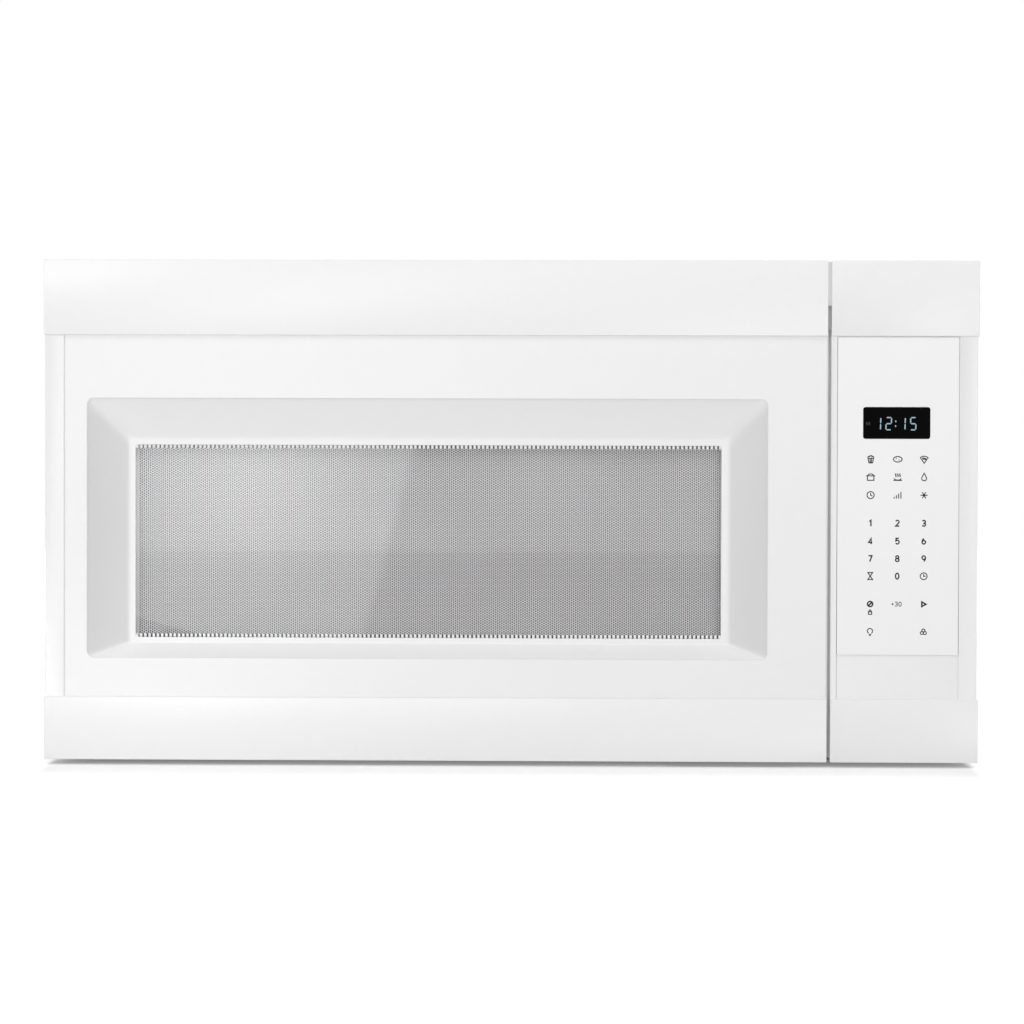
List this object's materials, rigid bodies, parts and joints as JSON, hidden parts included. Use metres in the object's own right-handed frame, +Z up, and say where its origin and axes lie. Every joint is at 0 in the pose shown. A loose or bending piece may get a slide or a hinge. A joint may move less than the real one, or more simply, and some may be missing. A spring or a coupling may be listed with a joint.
{
  "type": "over-the-range microwave",
  "caption": "Wall-hung white microwave oven and range hood with a side-hinged windowed door, flush control column, turntable, blower and grease filters.",
  "frame": {"origin": "Centre of the footprint, on the plane of the flat underside.", "axes": "+X to the right seen from the front, +Y towards the wall, +Z up; the door's front faces -Y."},
  "size_m": [0.759, 0.394, 0.408],
  "materials": {
    "case_paint": "semi-gloss white paint on sheet steel",
    "zinc_steel": "galvanised sheet steel",
    "oven_paint": "light grey oven enamel",
    "door_moulding": "glossy white moulded plastic",
    "panel_moulding": "glossy white moulded plastic",
    "fascia_moulding": "glossy white moulded plastic",
    "film": "satin white printed film",
    "membrane": "clear film with printed conductors",
    "display_black": "black tinted window",
    "display_block": "matt black display block",
    "board": "green circuit board",
    "components": "black component cases",
    "window_glass": "clear flat glass",
    "inner_film": "clear moulded sheet",
    "screen_paint": "white-painted perforated sheet",
    "choke_plastic": "light grey plastic",
    "white_plastic": "white moulded plastic",
    "nylon": "natural nylon",
    "spring_steel": "drawn spring wire",
    "filter_aluminium": "expanded aluminium mesh",
    "charcoal": "black charcoal filter",
    "lens_glass": "frosted glass",
    "lamp": "ceramic socket and glass bulb",
    "motor_steel": "plated steel motor case",
    "laminations": "varnished laminations and copper windings",
    "capacitor_can": "drawn aluminium can",
    "mica": "mica sheet",
    "tray_glass": "pressed glass",
    "wire_cover": "vinyl covered leads",
    "gland_rubber": "black rubber",
    "black_plastic": "black moulded plastic",
    "black_steel": "black oxide steel"
  },
  "bodies": {
    "case": {"case_wrap": "case_paint", "base_pan": "case_paint", "back_panel": "zinc_steel", "oven_cavity": "oven_paint", "component_shelf": "zinc_steel", "control_bracket": "zinc_steel", "vent_grille": "white_plastic", "charcoal_filter": "charcoal", "duct_cover": "zinc_steel", "bolt_plates": "black_steel", "cord_gland": "gland_rubber", "case_screws": "zinc_steel", "cooktop_lenses": "lens_glass", "cooktop_lamps": "lamp", "vent_blower_housing": "zinc_steel", "vent_motor": "motor_steel", "waveguide": "zinc_steel", "waveguide_cover": "mica", "magnetron": "motor_steel", "hv_transformer": "laminations", "hv_capacitor": "capacitor_can", "noise_filter": "board", "cooling_shroud": "white_plastic", "cooling_motor": "motor_steel", "oven_lamp": "lamp", "thermal_cutouts": "lamp", "wiring": "wire_cover", "turntable_motor": "motor_steel", "latch_board": "nylon", "door_switches": "black_plastic", "hinge_lower": "zinc_steel", "hinge_upper": "zinc_steel", "hinge_washers": "nylon", "control_fascia": "fascia_moulding", "key_film": "film", "key_membrane": "membrane", "display_window": "display_black", "display_module": "display_block", "control_board": "board", "board_parts": "components"},
    "door": {"door_frame": "door_moulding", "door_panel": "panel_moulding", "door_glass": "window_glass", "door_choke": "zinc_steel", "door_screen": "screen_paint", "door_inner_window": "inner_film", "choke_cover": "choke_plastic", "latch_spring": "spring_steel"},
    "latch": {"latch_hooks": "white_plastic"},
    "turntable_drive": {"turntable_shaft": "nylon", "turntable_coupler": "nylon"},
    "tray": {"turntable_tray": "tray_glass"},
    "ring": {"roller_ring": "nylon"},
    "wheel_1": {"roller_1": "white_plastic"},
    "wheel_2": {"roller_2": "white_plastic"},
    "wheel_3": {"roller_3": "white_plastic"},
    "vent_wheels": {"vent_rotor": "black_plastic"},
    "fan": {"cooling_fan": "white_plastic"},
    "filter_left": {"grease_filter_left": "filter_aluminium"},
    "filter_right": {"grease_filter_right": "filter_aluminium"}
  },
  "joints": [
    {"name": "door_hinge", "type": "hinge", "parent": "case", "child": "door", "pos_m": [-0.368, -0.168, 0.19], "axis": [0, 0, -1], "range_deg": [0, 95]},
    {"name": "latch_slide", "type": "slide", "parent": "door", "child": "latch", "axis": [0, 0, 1], "range_m": [0, 0.004], "deforming": ["latch_spring"]},
    {"name": "turntable_spin", "type": "hinge", "parent": "case", "child": "turntable_drive", "pos_m": [-0.068, 0.00775, 0.055], "axis": [0, 0, 1], "continuous": true},
    {"name": "tray_lift", "type": "slide", "parent": "turntable_drive", "child": "tray", "axis": [0, 0, 1], "range_m": [0, 0.025]},
    {"name": "ring_spin", "type": "hinge", "parent": "case", "child": "ring", "pos_m": [-0.068, 0.00775, 0.0573], "axis": [0, 0, 1], "continuous": true},
    {"name": "wheel_1_spin", "type": "hinge", "parent": "ring", "child": "wheel_1", "pos_m": [-0.068, 0.12325, 0.0573], "axis": [0, 1, 0], "continuous": true},
    {"name": "wheel_2_spin", "type": "hinge", "parent": "ring", "child": "wheel_2", "pos_m": [-0.16803, -0.05, 0.0573], "axis": [-0.866, -0.5, 0], "continuous": true},
    {"name": "wheel_3_spin", "type": "hinge", "parent": "ring", "child": "wheel_3", "pos_m": [0.03203, -0.05, 0.0573], "axis": [0.866, -0.5, 0], "continuous": true},
    {"name": "vent_spin", "type": "hinge", "parent": "case", "child": "vent_wheels", "pos_m": [0, 0.127, 0.347], "axis": [1, 0, 0], "continuous": true},
    {"name": "fan_spin", "type": "hinge", "parent": "case", "child": "fan", "pos_m": [0.2914, 0.153, 0.185], "axis": [0, 1, 0], "continuous": true},
    {"name": "filter_left_slide", "type": "slide", "parent": "case", "child": "filter_left", "axis": [0, 1, 0], "range_m": [0, 0.01]},
    {"name": "filter_right_slide", "type": "slide", "parent": "case", "child": "filter_right", "axis": [0, 1, 0], "range_m": [0, 0.01]}
  ],
  "couplings": [
    {"joint": "ring_spin", "follows": "turntable_spin", "ratio": 0.5},
    {"joint": "wheel_1_spin", "follows": "turntable_spin", "ratio": -8.25},
    {"joint": "wheel_2_spin", "follows": "turntable_spin", "ratio": -8.25},
    {"joint": "wheel_3_spin", "follows": "turntable_spin", "ratio": -8.25}
  ]
}
